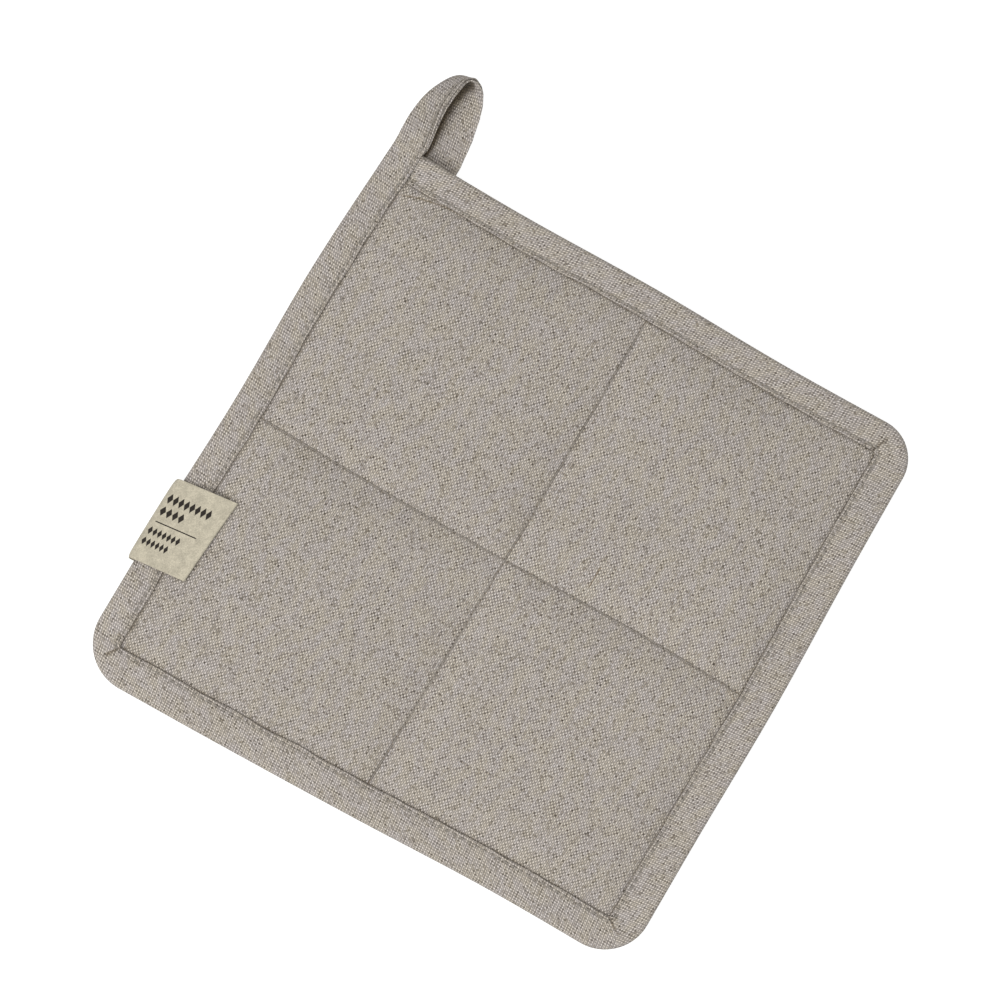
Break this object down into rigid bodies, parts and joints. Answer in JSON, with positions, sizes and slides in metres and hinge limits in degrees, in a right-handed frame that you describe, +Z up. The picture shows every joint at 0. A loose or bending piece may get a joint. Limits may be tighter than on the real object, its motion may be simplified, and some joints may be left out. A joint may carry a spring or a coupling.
{
  "type": "pot holder",
  "caption": "Square quilted cloth pot holder with a bound edge that runs on as a corner hanging loop, and a tape label folded over one side.",
  "frame": {"origin": "middle of the footprint, on the surface that the pot holder lies on", "axes": "+Z up out of the front panel, +Y along the side that carries the label, towards the hanging loop, +X across to the other side"},
  "size_m": [0.2074, 0.2298, 0.0126],
  "materials": {
    "panel_cloth": "plain-woven grey-beige melange cotton",
    "binding_cloth": "the same cotton cut on the bias",
    "label_tape": "smooth cream cotton tape",
    "sewing_thread": "matt twisted thread close to the cloth's colour",
    "wadding": "needled white wadding"
  },
  "bodies": {
    "root": {"front_panel": "panel_cloth", "back_panel": "panel_cloth", "wadding": "wadding", "edge_binding": "binding_cloth", "side_label": "label_tape", "quilting_thread_front_lengthwise": "sewing_thread", "quilting_thread_front_crosswise": "sewing_thread", "quilting_thread_back_lengthwise": "sewing_thread", "quilting_thread_back_crosswise": "sewing_thread", "binding_thread_front": "sewing_thread", "binding_thread_back": "sewing_thread"}
  },
  "joints": []
}
